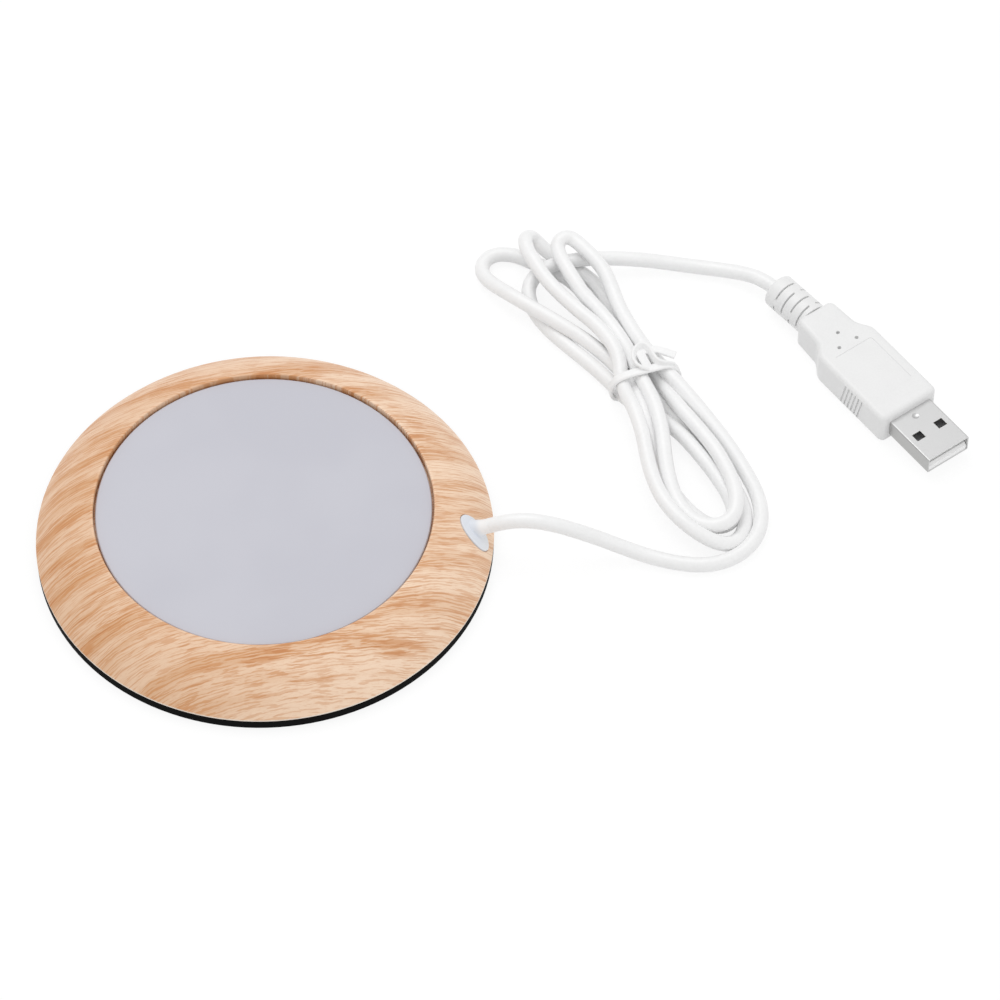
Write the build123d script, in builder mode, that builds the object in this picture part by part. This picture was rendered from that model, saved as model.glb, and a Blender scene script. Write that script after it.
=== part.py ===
"""USB cup warmer: a domed ring cover round a sunk heating plate, on a shallow tray.

Inside, under the plate, lie an etched heater track, its film, a felt blanket, a dished
pressure plate and a thermostat. The cord leaves through a grommet in the ring's slope,
runs to a tied hank and ends in a USB type A plug. Millimetres, +Z up, the origin at the
centre of the underside, +X towards the grommet.
"""
import os
from math import atan2, cos, degrees, hypot, pi, radians, sin, sqrt, tan

from build123d import *

os.makedirs("parts", exist_ok=True)

# ---------------------------------------------------------------- driving sizes
# Housing
body_d = 105.0            # ring cover, outside
body_h = 13.5             # table to the top of the ring's inner lip
crown_radius = 25.0       # of the ring's domed section
wall = 2.0                # ring cover wall
seam_z = 2.85             # tray below, ring cover above
edge_land = 0.45          # upright edge of the ring cover above the seam
lip_round = 0.3           # round on the inner lip
lip_land = 0.5            # from the opening to where the dome starts
ledge_w = 2.7             # ledge that carries the heating plate
ledge_t = 1.5
ledge_root = 2.6          # thick part outside the opening, for the plate screws

ring_w = 13.6             # from the ring's edge to the opening

# Heating plate and the layers under it
plate_t = 1.2
plate_sink = 1.0          # plate top below the lip
plate_gap = 0.5           # shadow gap round the plate
plate_edge_chamfer = 0.2
seal_t = 0.4
seal_side_gap = 0.1
sheet_t = 0.3             # thermal adhesive sheet
track_t = 0.3
film_t = 0.3
layer_margin = 4.4        # plate outside the sheet and the film
felt_side_gap = 0.2
felt_t = 2.0

# Heater track
track_turns = 9
track_inner_r = 8.0
track_margin = 4.0        # film outside the last turn
track_w = 1.5
track_break = 3.2         # width of the break where the turns join
pad_d = 3.4
solder_d = 2.6
solder_h = 0.8
joint_hole_gap = 0.8      # round a soldered end, in felt and pan

# Pressure plate, its screws, and the thermostat under it
pressure_t = 0.8
pan_side_gap = 0.3        # between the pan's edge and the ledge
pan_slot_r = 24.0         # pressed slots round the pan's middle
pan_slot_count = 3
pan_slot_w = 2.0
pan_slot_l = 11.0
plate_screw_count = 4
plate_screw_in = 0.6      # screw circle inside the middle of the thick root
plate_screw_d = 2.0
plate_screw_l = 2.2
plate_screw_head_d = 3.2
plate_screw_head_h = 0.9
thermostat_l = 14.0
thermostat_w = 6.5
thermostat_h = 3.2
thermostat_x = 13.0
thermostat_y = -9.0
clip_t = 0.4
clip_w = 6.0
clip_foot = 3.0
wire_d = 1.3
wire_run = 3.6            # straight out of the jacket and the thermostat
wire_bend = 1.5
wire_tight = 0.8          # bend beside the soldered ends
wire_gap = 0.3            # between the two wires in the jacket's end

# Tray, pad and case screws
tray_inset = 0.05         # tray edge inside the ring cover's edge
tray_under = 0.15         # tray rim above the table
floor_t = 2.25            # tray rim to the tray's floor inside
tray_chamfer = 0.2
pad_t = 1.0               # pad fills its recess, and stands on the table
pad_margin = 2.0          # tray rim outside the pad
rib_h = 1.0               # locating rib above the tray floor
rib_t = 1.3
fit_gap = 0.3
case_screw_count = 4
case_screw_d = 2.6
case_screw_l = 6.0
case_screw_head_d = 4.6
case_screw_head_h = 1.2
boss_wall = 1.6
post_h = 1.2              # tray posts above the floor
head_clearance = 0.4

# Grommet
grommet_in = 4.1          # from the ring's edge to the middle of the disc, seen from above
disc_l = 9.8              # oval disc
disc_w = 5.8
disc_lean = 32.0          # its long way, from straight downhill towards the front
disc_t = 1.15
disc_proud = 0.3
disc_gap = 0.15           # dark line round the disc
disc_round = 0.2
neck_d = 5.0
collar_gap = 0.5          # behind the middle of the curved wall
collar_d = 6.6
collar_t = 0.9
nose_rise = 27.0          # degrees above level
nose_l = 3.6
nose_across = 0.95        # root off the disc's middle, across its long way
nose_up = 0.5             # and up its long way
nose_root_l = 5.0         # oval root
nose_root_w = 3.7
nose_mid_d = 3.72         # two fifths of the way out, so the flare is hollow
nose_tip_d = 3.56
stub_clear = 0.05         # grommet's tail above the tray floor
stub_in = 9.2             # from the ring's edge to where the jacket goes on

# Cord clamp
clamp_gap = 0.7           # between the grommet's tail and the clamp
clamp_w = 3.6
clamp_span = 15.0
clamp_t = 1.1
clamp_arch = 0.8
cradle_t = 0.4            # under the cord in the cradle
clamp_screw_pitch = 10.0
clamp_screw_d = 2.0
clamp_screw_l = 4.0
clamp_screw_head_d = 3.4
clamp_screw_head_h = 0.9
jacket_past = 1.2         # jacket beyond the clamp

# Cord, hank and tie
cord_d = 3.5
strand_levels = 2         # layers of cord through the tie
tie_wire_d = 1.2
tie_clear = 0.1
waist_x = 84.3
waist_y = 50.2
waist_turn = -70.0        # way the strands run through the tie
waist_w = 13.8
waist_l = 12.0
hank_round = 1.5
waist_hump_in = 0.5       # hump of the strands over the tie, inside the rounded top
low_loop = (102.0, 10.6, 13.3)          # middle and radius
high_loops = [(66.0, 86.6, 6.0), (55.8, 88.6, 5.0), (47.4, 84.2, 6.2)]
crossing_loops = [(66.0, 86.6, 5.4), (58.0, 84.6, 4.4)]
tie_bend = 3.0
knot_w = 3.0
knot_h = 2.2
knot_l = 3.4
tie_end_route = [(83.8, 51.8, 9.4), (82.9, 60.4, 9.4), (85.3, 60.8, 9.4), (85.2, 53.0, 9.4)]
tie_end_bend = 1.0
tie_flat_route = [(84.6, 51.9, 9.4), (91.2, 55.2, 9.4)]
tie_flat_w = 1.7
tie_flat_t = 0.8

# USB plug
shell_w = 12.0
shell_h = 4.5
shell_wall = 0.3
shell_out = 14.2          # from the overmould's face to the mouth
shell_in = 6.0            # length held inside the overmould
shell_corner = 0.35
window_w = 2.4
window_l = 2.2
window_x = 7.2
window_pitch = 6.4
detent_x = 2.1            # stamped dimple behind the windows
detent_d = 1.7
detent_depth = 0.22
tongue_t = 1.95
tongue_short = 0.15       # tongue end behind the mouth
tongue_side_gap = 0.15
tongue_chamfer = 0.6      # leads a socket's tongue in
contact_w = 1.0
contact_l = 5.2
contact_t = 0.3
contact_pitch = 2.4
contact_inset = 1.8       # behind the tongue's end
plug_x = 146.55
plug_y = 44.03
plug_turn = -49.6
plug_w = 16.4
plug_h = 8.8
plug_l = 36.0
shoulder_x = 22.6         # behind the face, where the body starts to narrow
waist_back = 28.6
tail_w = 11.4
rear_w = 10.4
plug_round = 1.3
panel_l = 15.4
panel_w = 11.0
panel_x = 13.7
panel_depth = 0.15
dimple_d = 0.95
dimple_depth = 1.1
dimple_x = 27.0
dimple_step = 3.8
dimple_pitch = 5.2
panel_corner = 0.8
plug_side_round = 1.6
grip_count = 6
grip_pitch = 1.2
grip_w = 0.5
grip_depth = 0.4
grip_x = 11.4
grip_l = 7.0
grip_lean = 12.0          # degrees from upright, the top towards the mouth
boot_d = 8.5
boot_round = 0.6
boot_first_slit = 3.1     # from the boot's end
boot_slit_rows = 4
boot_slit_pitch = 2.6
boot_slit_w = 0.5
boot_slit_depth = 1.0
boot_slits = 3            # round the boot in each row
boot_bridge_w = 1.9       # left between two slits
boot_bridge_turn = 165.0
boot_row_turn = 33.0      # every other row is turned by this

# Route of the cord, from the grommet's nose to the hank and from the hank to the boot
lead_route = [
    (62.0, 1.0, 12.5), (66.9, 0.9, 11.5), (71.4, 1.2, 9.2), (75.8, 1.9, 6.6), (81.6, 1.6, 3.8),
    (87.8, 0.6, 2.1), (92.8, -0.4, 1.75), (97.0, -0.8, 1.75),
]
lead_first = 4.9          # straight out of the nose
tail_route = [
    (70.4, 86.6, 5.2), (77.4, 88.2, 4.2), (85.0, 89.1, 2.6), (92.4, 88.8, 1.75), (99.6, 87.8, 1.95),
    (106.0, 86.1, 3.2), (110.8, 83.6, 4.4), (114.45, 80.5, 4.4),
]

# ---------------------------------------------------------------- derived sizes
body_r = body_d / 2
opening_r = body_r - ring_w
plate_d = 2 * (opening_r - plate_gap)
layer_d = plate_d - 2 * layer_margin
track_outer_r = layer_d / 2 - track_margin
plate_top = body_h - plate_sink
plate_under = plate_top - plate_t
ledge_top = plate_under - seal_t
ledge_under = ledge_top - ledge_t
ledge_r = opening_r - ledge_w
root_r = opening_r + ledge_root
sheet_under = plate_under - sheet_t
track_under = sheet_under - track_t
film_under = track_under - film_t
pan_r = ledge_r - pan_side_gap
felt_r = pan_r - pressure_t / 2 - felt_side_gap
pan_top = film_under - felt_t
pan_under = pan_top - pressure_t
plate_screw_r = (opening_r + root_r) / 2 - plate_screw_in
flange_r = root_r - fit_gap
flange_top = ledge_under
flange_under = flange_top - pressure_t
floor_top = tray_under + floor_t
post_top = floor_top + post_h
tray_r = body_r - tray_inset
pad_r = tray_r - pad_margin
boss_r = case_screw_d / 2 + boss_wall
case_screw_r = root_r + boss_r
cord_r = cord_d / 2
grommet_r = body_r - grommet_in
stub_x = body_r - stub_in
clamp_x = stub_x - clamp_gap - clamp_w / 2
jacket_end_x = clamp_x - clamp_w / 2 - jacket_past
inner_cord_z = floor_top + cradle_t + cord_r
stub_d = cord_d + 2 * (cradle_t - stub_clear)

# the dome's arc, through the lip land's end and the top of the edge land
crown_start = (opening_r + lip_land, body_h)
crown_end = (body_r, seam_z + edge_land)
crown_chord = hypot(crown_end[0] - crown_start[0], crown_end[1] - crown_start[1])
crown_tilt = atan2(crown_start[1] - crown_end[1], crown_end[0] - crown_start[0])
crown_rise = sqrt(crown_radius**2 - (crown_chord / 2) ** 2)
crown_x = (crown_start[0] + crown_end[0]) / 2 - crown_rise * sin(crown_tilt)
crown_z = (crown_start[1] + crown_end[1]) / 2 - crown_rise * cos(crown_tilt)


def dome_z(r, depth=0.0):
    """Height of the dome at a radius, or of a surface below it by a depth."""
    return crown_z + sqrt((crown_radius - depth) ** 2 - (r - crown_x) ** 2)


def dome_r(z, depth=0.0):
    """Radius of the dome at a height, or of a surface below it by a depth."""
    return crown_x + sqrt((crown_radius - depth) ** 2 - (z - crown_z) ** 2)


def dome_point(turn, depth=0.0):
    """Point of the dome's section, by its angle from upright in degrees."""
    reach = crown_radius - depth
    return (crown_x + reach * sin(radians(turn)), crown_z + reach * cos(radians(turn)))


def dome_turn(r, z):
    """Angle from upright of a point of the dome's section, in degrees."""
    return degrees(atan2(r - crown_x, z - crown_z))


# grommet frame: the disc's middle on the dome, its outward axis, and the nose's axis
disc_mid = Vector(grommet_r, 0, dome_z(grommet_r))
disc_axis = Vector(grommet_r - crown_x, 0, disc_mid.Z - crown_z).normalized()
downhill = Vector(disc_axis.Z, 0, -disc_axis.X)
disc_long = downhill * cos(radians(disc_lean)) - Vector(0, 1, 0) * sin(radians(disc_lean))
disc_plane = Plane(origin=disc_mid, x_dir=disc_long, z_dir=disc_axis)
seat_plane = disc_plane.offset(disc_proud - disc_t)
nose_axis = Vector(cos(radians(nose_rise)), 0, sin(radians(nose_rise)))
nose_root = disc_mid + disc_plane.y_dir * nose_across - disc_plane.x_dir * nose_up
nose_tip = nose_root + nose_axis * nose_l

# tie frame: z is the way the strands run, x is across them, y is up
waist_dir = Vector(cos(radians(waist_turn)), sin(radians(waist_turn)), 0)
waist_across = Vector(-waist_dir.Y, waist_dir.X, 0)
strands_h = cord_d * strand_levels
tie_plane = Plane(origin=(waist_x, waist_y, 0), x_dir=waist_across, z_dir=waist_dir)
tie_inner_w = waist_w + 2 * tie_clear
tie_mid_w = tie_inner_w + tie_wire_d
tie_mid_h = strands_h + 2 * tie_clear + tie_wire_d

# plug frame: x runs to the mouth, y across, z up from the table
plug_plane = Plane(origin=(plug_x, plug_y, 0), x_dir=Vector(cos(radians(plug_turn)), sin(radians(plug_turn))))
plug_mid_z = plug_h / 2


def on_plug(x, y, z=0.0):
    """A point given in the plug's frame, in the part's frame."""
    return plug_plane.from_local_coords((x, y, z))


def tube_radii(points):
    """The widest arc that each corner of a cord's route leaves room for."""
    radii = []
    for before, here, after in zip(points, points[1:], points[2:]):
        run_in = Vector(*here) - Vector(*before)
        run_out = Vector(*after) - Vector(*here)
        turn = radians(run_in.get_angle(run_out))
        radii.append(0.45 * min(run_in.length, run_out.length) / tan(turn / 2))
    return radii


# ---------------------------------------------------------------- ring cover
screw_seat_z = post_top

with BuildPart() as ring_cover:
    # bosses for the case screws, kept under the dome
    with BuildSketch(Plane.XY.offset(screw_seat_z)):
        with PolarLocations(case_screw_r, case_screw_count, start_angle=45):
            Circle(boss_r)
    extrude(amount=body_h - screw_seat_z)
    with BuildSketch(Plane.XZ):
        with BuildLine():
            start = dome_point(dome_turn(*crown_start), wall / 2)
            end = (dome_r(seam_z, wall / 2), seam_z)
            ThreePointArc(start, dome_point((dome_turn(*start) + dome_turn(*end)) / 2, wall / 2), end)
            Polyline(end, (0, seam_z), (0, start[1]), start)
        make_face()
    revolve(axis=Axis.Z, mode=Mode.INTERSECT)
    # the domed wall with its lip, plate ledge and thick root
    with BuildSketch(Plane.XZ):
        with BuildLine():
            root_top = (root_r, dome_z(root_r, wall))
            wall_foot = (dome_r(seam_z, wall), seam_z)
            outer_turn = (dome_turn(*crown_start) + dome_turn(*crown_end)) / 2
            inner_turn = (dome_turn(*root_top) + dome_turn(*wall_foot)) / 2
            ThreePointArc(crown_start, dome_point(outer_turn), crown_end)
            Polyline(crown_end, (body_r, seam_z), wall_foot)
            ThreePointArc(wall_foot, dome_point(inner_turn, wall), root_top)
            Polyline(root_top, (root_r, ledge_under), (ledge_r, ledge_under), (ledge_r, ledge_top),
                     (opening_r, ledge_top), (opening_r, body_h - lip_round))
            RadiusArc((opening_r, body_h - lip_round), (opening_r + lip_round, body_h), lip_round)
            Line((opening_r + lip_round, body_h), crown_start)
        make_face()
    revolve(axis=Axis.Z)
    # holes for the case screws and the pressure plate screws
    with BuildSketch(Plane.XY.offset(screw_seat_z)):
        with PolarLocations(case_screw_r, case_screw_count, start_angle=45):
            Circle(case_screw_d / 2)
    extrude(amount=case_screw_l - post_h, mode=Mode.SUBTRACT)
    with BuildSketch(Plane.XY.offset(ledge_under)):
        with PolarLocations(plate_screw_r, plate_screw_count, start_angle=30):
            Circle(plate_screw_d / 2)
    extrude(amount=plate_screw_l - pressure_t + 0.2, mode=Mode.SUBTRACT)
    # seat for the grommet's disc, and its hole
    with BuildSketch(seat_plane):
        Ellipse(disc_l / 2 + disc_gap, disc_w / 2 + disc_gap)
    extrude(amount=2 * disc_t, mode=Mode.SUBTRACT)
    with BuildSketch(disc_plane):
        Circle(neck_d / 2)
    extrude(amount=-2 * wall, mode=Mode.SUBTRACT)

# ---------------------------------------------------------------- plate and layers
with BuildPart() as heating_plate:
    with BuildSketch(Plane.XY.offset(plate_under)):
        Circle(plate_d / 2)
    extrude(amount=plate_t)
    chamfer(heating_plate.edges().group_by(Axis.Z)[-1], plate_edge_chamfer)

with BuildPart() as plate_seal:
    with BuildSketch(Plane.XY.offset(ledge_top)):
        Circle(plate_d / 2 - seal_side_gap)
        Circle(ledge_r + seal_side_gap, mode=Mode.SUBTRACT)
    extrude(amount=seal_t)

with BuildPart() as thermal_sheet:
    with BuildSketch(Plane.XY.offset(sheet_under)):
        Circle(layer_d / 2)
    extrude(amount=sheet_t)

turn_pitch = (track_outer_r - track_inner_r) / (track_turns - 1)
pad_y = track_break / 2 + pad_d / 2 - 0.4
end_side = 1 if track_turns % 2 == 0 else -1
outer_pad = (sqrt(track_outer_r**2 - pad_y**2), pad_y)
inner_pad = (sqrt(track_inner_r**2 - pad_y**2), end_side * pad_y)

# one foil path: open rings, joined by turns in and out beside the break
with BuildPart() as heater_track:
    with BuildSketch(Plane.XY.offset(track_under)) as track_shape:
        for turn in range(track_turns):
            ring_r = track_outer_r - turn * turn_pitch
            Circle(ring_r + track_w / 2)
            Circle(ring_r - track_w / 2, mode=Mode.SUBTRACT)
        with Locations(((track_inner_r + track_outer_r) / 2, 0)):
            Rectangle(track_outer_r - track_inner_r + 2 * track_w, track_break, mode=Mode.SUBTRACT)
        for turn in range(track_turns - 1):
            outer_ring = track_outer_r - turn * turn_pitch
            side = -1 if turn % 2 == 0 else 1
            link_y = side * (track_break + track_w) / 2
            with Locations((outer_ring - turn_pitch / 2, link_y)):
                Rectangle(turn_pitch, track_w)
        with Locations(outer_pad, inner_pad):
            Circle(pad_d / 2)
    extrude(amount=track_t)

with BuildPart() as heater_film:
    with BuildSketch(Plane.XY.offset(film_under)):
        Circle(layer_d / 2)
        with Locations(outer_pad, inner_pad):
            Circle(solder_d / 2, mode=Mode.SUBTRACT)
    extrude(amount=film_t)

with BuildPart() as solder_joints:
    with BuildSketch(Plane.XY.offset(track_under)):
        with Locations(outer_pad, inner_pad):
            Circle(solder_d / 2)
    extrude(amount=-(film_t + solder_h))

hole_d = pad_d + 2 * joint_hole_gap

with BuildPart() as insulation_felt:
    with BuildSketch(Plane.XY.offset(pan_top)):
        Circle(felt_r)
        with Locations(outer_pad, inner_pad):
            Circle(hole_d / 2, mode=Mode.SUBTRACT)
    extrude(amount=felt_t)

# ---------------------------------------------------------------- pressure plate
with BuildPart() as pressure_plate:
    with BuildSketch(Plane.XZ):
        with BuildLine():
            Polyline((0, pan_under), (pan_r + pressure_t / 2, pan_under),
                     (pan_r + pressure_t, flange_under), (flange_r, flange_under),
                     (flange_r, flange_top), (pan_r, flange_top), (pan_r - pressure_t / 2, pan_top),
                     (0, pan_top), close=True)
        make_face()
    revolve(axis=Axis.Z)
    with BuildSketch(Plane.XY.offset(pan_under)):
        with Locations(outer_pad, inner_pad):
            Circle(hole_d / 2)
    extrude(amount=pressure_t, mode=Mode.SUBTRACT)
    with BuildSketch(Plane.XY.offset(flange_under)):
        with PolarLocations(plate_screw_r, plate_screw_count, start_angle=30):
            Circle(plate_screw_d / 2)
    extrude(amount=pressure_t, mode=Mode.SUBTRACT)
    # pressed lightening slots round the middle
    with BuildSketch(Plane.XY.offset(pan_under)):
        with PolarLocations(pan_slot_r, pan_slot_count, start_angle=100):
            SlotOverall(pan_slot_l, pan_slot_w, rotation=90)
    extrude(amount=pressure_t, mode=Mode.SUBTRACT)

with BuildPart() as plate_screws:
    with BuildSketch(Plane.XY.offset(flange_under)):
        with PolarLocations(plate_screw_r, plate_screw_count, start_angle=30):
            Circle(plate_screw_d / 2)
    extrude(amount=plate_screw_l)
    with BuildSketch(Plane.XY.offset(flange_under)):
        with PolarLocations(plate_screw_r, plate_screw_count, start_angle=30):
            Circle(plate_screw_head_d / 2)
    extrude(amount=-plate_screw_head_h)

with BuildPart() as thermostat:
    with BuildSketch(Plane.XY.offset(pan_under)):
        with Locations((thermostat_x, thermostat_y)):
            Rectangle(thermostat_l, thermostat_w)
    extrude(amount=-thermostat_h)
    fillet(thermostat.edges().filter_by(Axis.X).group_by(Axis.Z)[0], 0.8)

clip_in_w = thermostat_w / 2 + 0.1
clip_in_z = pan_under - thermostat_h - 0.1

with BuildPart() as thermostat_clip:
    with BuildSketch(Plane.YZ.offset(thermostat_x - clip_w / 2)):
        with BuildLine():
            Polyline((thermostat_y - clip_in_w - clip_foot, pan_under),
                     (thermostat_y - clip_in_w, pan_under),
                     (thermostat_y - clip_in_w, clip_in_z),
                     (thermostat_y + clip_in_w, clip_in_z),
                     (thermostat_y + clip_in_w, pan_under),
                     (thermostat_y + clip_in_w + clip_foot, pan_under),
                     (thermostat_y + clip_in_w + clip_foot, pan_under - clip_t),
                     (thermostat_y + clip_in_w + clip_t, pan_under - clip_t),
                     (thermostat_y + clip_in_w + clip_t, clip_in_z - clip_t),
                     (thermostat_y - clip_in_w - clip_t, clip_in_z - clip_t),
                     (thermostat_y - clip_in_w - clip_t, pan_under - clip_t),
                     (thermostat_y - clip_in_w - clip_foot, pan_under - clip_t), close=True)
        make_face()
    extrude(amount=clip_w)

# ---------------------------------------------------------------- tray, pad, screws
rib_top = floor_top + rib_h
rib_r = dome_r(rib_top, wall) - fit_gap

with BuildPart() as base_tray:
    with BuildSketch(Plane.XZ):
        with BuildLine():
            Polyline((0, pad_t), (pad_r + fit_gap, pad_t),
                     (pad_r + fit_gap, tray_under), (tray_r - tray_chamfer, tray_under),
                     (tray_r, tray_under + tray_chamfer), (tray_r, seam_z),
                     (rib_r, seam_z), (rib_r, rib_top), (rib_r - rib_t, rib_top),
                     (rib_r - rib_t, floor_top), (0, floor_top), close=True)
        make_face()
    revolve(axis=Axis.Z)
    # notch in the rib where the grommet's tail passes
    with BuildSketch(Plane.XY.offset(floor_top)):
        with Locations((rib_r, 0)):
            Rectangle(4 * rib_t, collar_d + 4)
    extrude(amount=rib_h, mode=Mode.SUBTRACT)
    # posts for the case screws, and the cradle for the cord clamp
    with BuildSketch(Plane.XY.offset(floor_top)):
        with PolarLocations(case_screw_r, case_screw_count, start_angle=45):
            Circle(boss_r)
    extrude(amount=post_h)
    with BuildSketch(Plane.XY.offset(floor_top)):
        with Locations((clamp_x, 0)):
            Rectangle(clamp_w, clamp_span)
    extrude(amount=inner_cord_z - floor_top)
    with BuildSketch(Plane.YZ.offset(clamp_x - clamp_w)):
        with Locations((0, inner_cord_z)):
            Circle(cord_r)
    extrude(amount=2 * clamp_w, mode=Mode.SUBTRACT)
    with BuildSketch(Plane.XY.offset(inner_cord_z)):
        with Locations((clamp_x, -clamp_screw_pitch / 2), (clamp_x, clamp_screw_pitch / 2)):
            Circle(clamp_screw_d / 2)
    extrude(amount=clamp_t - clamp_screw_l, mode=Mode.SUBTRACT)
    with BuildSketch(Plane.XY.offset(pad_t)):
        with PolarLocations(case_screw_r, case_screw_count, start_angle=45):
            Circle(case_screw_head_d / 2 + head_clearance)
    extrude(amount=floor_top - pad_t, mode=Mode.SUBTRACT)
    with BuildSketch(Plane.XY.offset(floor_top)):
        with PolarLocations(case_screw_r, case_screw_count, start_angle=45):
            Circle(case_screw_d / 2)
    extrude(amount=post_h, mode=Mode.SUBTRACT)

with BuildPart() as base_pad:
    with BuildSketch():
        Circle(pad_r)
    extrude(amount=pad_t)

with BuildPart() as case_screws:
    with BuildSketch(Plane.XY.offset(floor_top)):
        with PolarLocations(case_screw_r, case_screw_count, start_angle=45):
            Circle(case_screw_d / 2)
    extrude(amount=case_screw_l)
    with BuildSketch(Plane.XY.offset(floor_top)):
        with PolarLocations(case_screw_r, case_screw_count, start_angle=45):
            Circle(case_screw_head_d / 2)
    extrude(amount=-case_screw_head_h)

# ---------------------------------------------------------------- grommet
collar_top = disc_mid - disc_axis * (wall + collar_gap)
collar_foot = collar_top - disc_axis * collar_t

with BuildPart() as cord_grommet:
    # oval disc, its face following the dome
    with BuildSketch(seat_plane):
        Ellipse(disc_l / 2, disc_w / 2)
    extrude(amount=2 * disc_t)
    with BuildSketch(Plane.XZ):
        with BuildLine():
            face_start = dome_point(dome_turn(*crown_start), -disc_proud)
            face_end = dome_point(dome_turn(*crown_end), -disc_proud)
            ThreePointArc(face_start, dome_point(outer_turn, -disc_proud), face_end)
            Polyline(face_end, (face_end[0], 0), (0, 0), (0, face_start[1]), face_start)
        make_face()
    revolve(axis=Axis.Z, mode=Mode.INTERSECT)
    fillet(cord_grommet.faces().sort_by(Axis(disc_mid, disc_axis))[-1].edges(), disc_round)
    with BuildSketch(disc_plane):
        Circle(neck_d / 2)
    extrude(amount=-(wall + collar_gap + collar_t))
    with BuildSketch(Plane(origin=collar_top, z_dir=disc_axis)):
        Circle(collar_d / 2)
    extrude(amount=-collar_t)
    # tail of the grommet, level, over the cord's jacket
    with BuildSketch(Plane.YZ.offset(stub_x)):
        with Locations((0, inner_cord_z)):
            Circle(stub_d / 2)
    extrude(amount=collar_foot.X - stub_x + 0.8)
    # flared nose
    with BuildSketch(disc_plane.offset(disc_proud / 2)):
        with Locations((-nose_up, nose_across)):
            Ellipse(nose_root_l / 2, nose_root_w / 2)
    with BuildSketch(Plane(origin=nose_root + nose_axis * nose_l * 0.4, x_dir=disc_long, z_dir=nose_axis)):
        Circle(nose_mid_d / 2)
    with BuildSketch(Plane(origin=nose_tip, x_dir=disc_long, z_dir=nose_axis)):
        Circle(nose_tip_d / 2)
    loft()

with BuildPart() as inner_cord:
    with BuildSketch(Plane.YZ.offset(jacket_end_x)):
        with Locations((0, inner_cord_z)):
            Circle(cord_r)
    extrude(amount=stub_x - jacket_end_x)

with BuildPart() as cord_clamp:
    with BuildSketch(Plane.YZ.offset(clamp_x - clamp_w / 2)):
        with Locations((0, inner_cord_z + clamp_t / 2)):
            Rectangle(clamp_span, clamp_t)
        with Locations((0, inner_cord_z)):
            Circle(cord_r + clamp_arch)
            Circle(cord_r, mode=Mode.SUBTRACT)
        with Locations((0, inner_cord_z - cord_d)):
            Rectangle(clamp_span, 2 * cord_d, mode=Mode.SUBTRACT)
    extrude(amount=clamp_w)
    with BuildSketch(Plane.XY.offset(inner_cord_z)):
        with Locations((clamp_x, -clamp_screw_pitch / 2), (clamp_x, clamp_screw_pitch / 2)):
            Circle(clamp_screw_d / 2)
    extrude(amount=clamp_t, mode=Mode.SUBTRACT)

with BuildPart() as clamp_screws:
    with BuildSketch(Plane.XY.offset(inner_cord_z + clamp_t)):
        with Locations((clamp_x, -clamp_screw_pitch / 2), (clamp_x, clamp_screw_pitch / 2)):
            Circle(clamp_screw_d / 2)
    extrude(amount=-clamp_screw_l)
    with BuildSketch(Plane.XY.offset(inner_cord_z + clamp_t)):
        with Locations((clamp_x, -clamp_screw_pitch / 2), (clamp_x, clamp_screw_pitch / 2)):
            Circle(clamp_screw_head_d / 2)
    extrude(amount=clamp_screw_head_h)

# ---------------------------------------------------------------- inner wires
joint_z = track_under - film_t - solder_h
wire_z = pan_under - thermostat_h / 2
wire_y = (wire_d + wire_gap) / 2
warm_end = thermostat_x + thermostat_l / 2
cold_end = thermostat_x - thermostat_l / 2


def wire(points, bend):
    """A round wire along straight runs with equal bends."""
    with BuildPart() as piece:
        with BuildLine() as route:
            FilletPolyline(*points, radius=bend)
        with BuildSketch(Plane(origin=points[0], z_dir=Vector(*points[1]) - Vector(*points[0]))):
            Circle(wire_d / 2)
        sweep(path=route.wire())
    return piece


live_wire = wire([(jacket_end_x, -wire_y, inner_cord_z), (jacket_end_x - wire_run, -wire_y, inner_cord_z),
                  (warm_end + wire_run, thermostat_y, wire_z), (warm_end, thermostat_y, wire_z)], wire_bend)
return_wire = wire([(jacket_end_x, wire_y, inner_cord_z), (outer_pad[0], wire_y, inner_cord_z),
                    (outer_pad[0], outer_pad[1], wire_z), (*outer_pad, joint_z)], wire_tight)
link_wire = wire([(cold_end, thermostat_y, wire_z), (cold_end - wire_run, thermostat_y, wire_z),
                  (cold_end - wire_run, inner_pad[1], wire_z), (inner_pad[0], inner_pad[1], wire_z),
                  (*inner_pad, joint_z)], wire_tight)

# ---------------------------------------------------------------- free cord
lead_points = [tuple(nose_tip), tuple(nose_tip + nose_axis * lead_first), *lead_route]


def cord_tube(points, label):
    """The cord's jacket along a route of straight runs and wide arcs."""
    radii = tube_radii(points)
    with BuildPart() as piece:
        with BuildLine() as route:
            FilletPolyline(*points, radius=radii)
        with BuildSketch(Plane(origin=points[0], z_dir=Vector(*points[1]) - Vector(*points[0]))):
            Circle(cord_r)
        sweep(path=route.wire())
    run = route.wire().length
    print(label, "bend radii", [round(r, 1) for r in radii], "length", round(run, 1),
          "volume ratio", round(piece.part.volume / (pi * cord_r**2 * run), 4))
    return piece


cord_lead = cord_tube(lead_points, "cord_lead")
cord_tail = cord_tube(tail_route, "cord_tail")

# outer shape of the tied hank: a round lower loop, the straight waist, and a fan of three loops
waist_low = Vector(waist_x, waist_y) + waist_dir * waist_l / 2
waist_high = Vector(waist_x, waist_y) - waist_dir * waist_l / 2

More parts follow.
